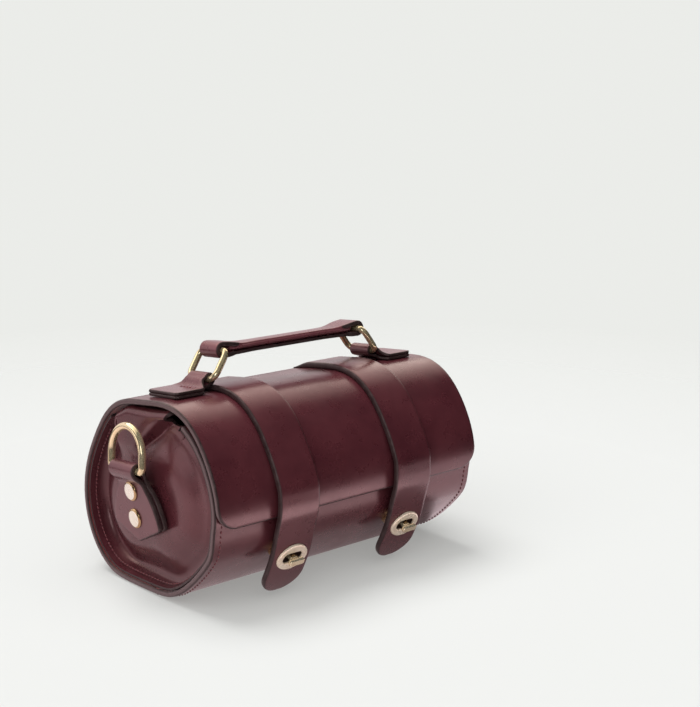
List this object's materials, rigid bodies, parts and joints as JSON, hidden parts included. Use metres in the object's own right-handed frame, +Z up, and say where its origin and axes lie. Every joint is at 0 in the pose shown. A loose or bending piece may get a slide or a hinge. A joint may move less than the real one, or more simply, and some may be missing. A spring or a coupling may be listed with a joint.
{
  "type": "barrel bag",
  "caption": "Small oval barrel bag in thick leather with a fold-over flap, two turn-lock straps, a top handle on rings and a D-ring at each end.",
  "frame": {"origin": "on the ground under the middle of the bag, on the flat of its underside", "axes": "+X along the bag's length, -Y to its front where the locks are, +Z up"},
  "size_m": [0.208, 0.1294, 0.1292],
  "materials": {
    "panel_leather": "glazed burgundy leather",
    "gusset_leather": "glazed burgundy leather, moulded",
    "strap_leather": "glazed burgundy leather with dark painted edges",
    "edge_leather": "dark brown edge paint",
    "hardware": "polished pale gold plating"
  },
  "bodies": {
    "body": {"body_shell": "panel_leather", "gusset_left": "gusset_leather", "gusset_right": "gusset_leather", "chape_left": "strap_leather", "chape_right": "strap_leather", "chape_rivets": "hardware", "lock_base_left": "hardware", "lock_base_right": "hardware", "lock_washers": "hardware"},
    "flap": {"flap_panel": "panel_leather", "strap_upper_left": "strap_leather", "strap_upper_right": "strap_leather", "handle_tab_left": "strap_leather", "handle_tab_right": "strap_leather"},
    "strap_tip_left": {"strap_tip_left": "strap_leather", "eyelet_front_left": "hardware", "eyelet_back_left": "hardware"},
    "strap_tip_right": {"strap_tip_right": "strap_leather", "eyelet_front_right": "hardware", "eyelet_back_right": "hardware"},
    "toggle_left": {"toggle_left": "hardware"},
    "toggle_right": {"toggle_right": "hardware"},
    "ring_left": {"handle_ring_left": "hardware"},
    "ring_right": {"handle_ring_right": "hardware"},
    "handle": {"handle_strap": "strap_leather", "handle_liner": "edge_leather"},
    "d_ring_left": {"d_ring_left": "hardware"},
    "d_ring_right": {"d_ring_right": "hardware"}
  },
  "joints": [
    {"name": "flap_open", "type": "hinge", "parent": "body", "child": "flap", "pos_m": [0, 0.03375, 0.09127], "axis": [-1, 0, 0], "range_deg": [0, 110]},
    {"name": "strap_tip_left_flex", "type": "hinge", "parent": "flap", "child": "strap_tip_left", "pos_m": [-0.0425, -0.06481, 0.04913], "axis": [-1, 0, 0], "range_deg": [0, 60], "stiffness_Nm_per_rad": 0.08, "springref_deg": -6.88},
    {"name": "strap_tip_right_flex", "type": "hinge", "parent": "flap", "child": "strap_tip_right", "pos_m": [0.037, -0.06481, 0.04913], "axis": [-1, 0, 0], "range_deg": [0, 60], "stiffness_Nm_per_rad": 0.08, "springref_deg": -6.88},
    {"name": "toggle_left_turn", "type": "hinge", "parent": "body", "child": "toggle_left", "pos_m": [-0.0425, -0.05933, 0.0242], "axis": [0, -0.9212, -0.3891], "range_deg": [0, 90]},
    {"name": "toggle_right_turn", "type": "hinge", "parent": "body", "child": "toggle_right", "pos_m": [0.037, -0.05933, 0.0242], "axis": [0, -0.9212, -0.3891], "range_deg": [0, 90]},
    {"name": "ring_left_sway", "type": "hinge", "parent": "flap", "child": "ring_left", "pos_m": [-0.0569, -0.0042, 0.1102], "axis": [0, 0.9962, -0.0872], "range_deg": [-12, 12]},
    {"name": "ring_right_sway", "type": "hinge", "parent": "flap", "child": "ring_right", "pos_m": [0.0569, -0.0042, 0.1102], "axis": [0, 0.9962, -0.0872], "range_deg": [-14, 14]},
    {"name": "handle_sway", "type": "hinge", "parent": "ring_left", "child": "handle", "pos_m": [-0.04721, -0.00299, 0.12399], "axis": [0, 0.9962, -0.0872], "range_deg": [-16, 16]},
    {"name": "d_ring_left_swing", "type": "hinge", "parent": "body", "child": "d_ring_left", "pos_m": [-0.09958, 0.00275, 0.06787], "axis": [-0.0075, -0.9969, 0.0781], "range_deg": [0, 150]},
    {"name": "d_ring_right_swing", "type": "hinge", "parent": "body", "child": "d_ring_right", "pos_m": [0.09958, 0.00275, 0.06787], "axis": [-0.0075, 0.9969, -0.0781], "range_deg": [0, 150]}
  ],
  "couplings": [
    {"joint": "ring_right_sway", "follows": "ring_left_sway", "ratio": 1},
    {"joint": "handle_sway", "follows": "ring_left_sway", "ratio": -1.2053}
  ]
}
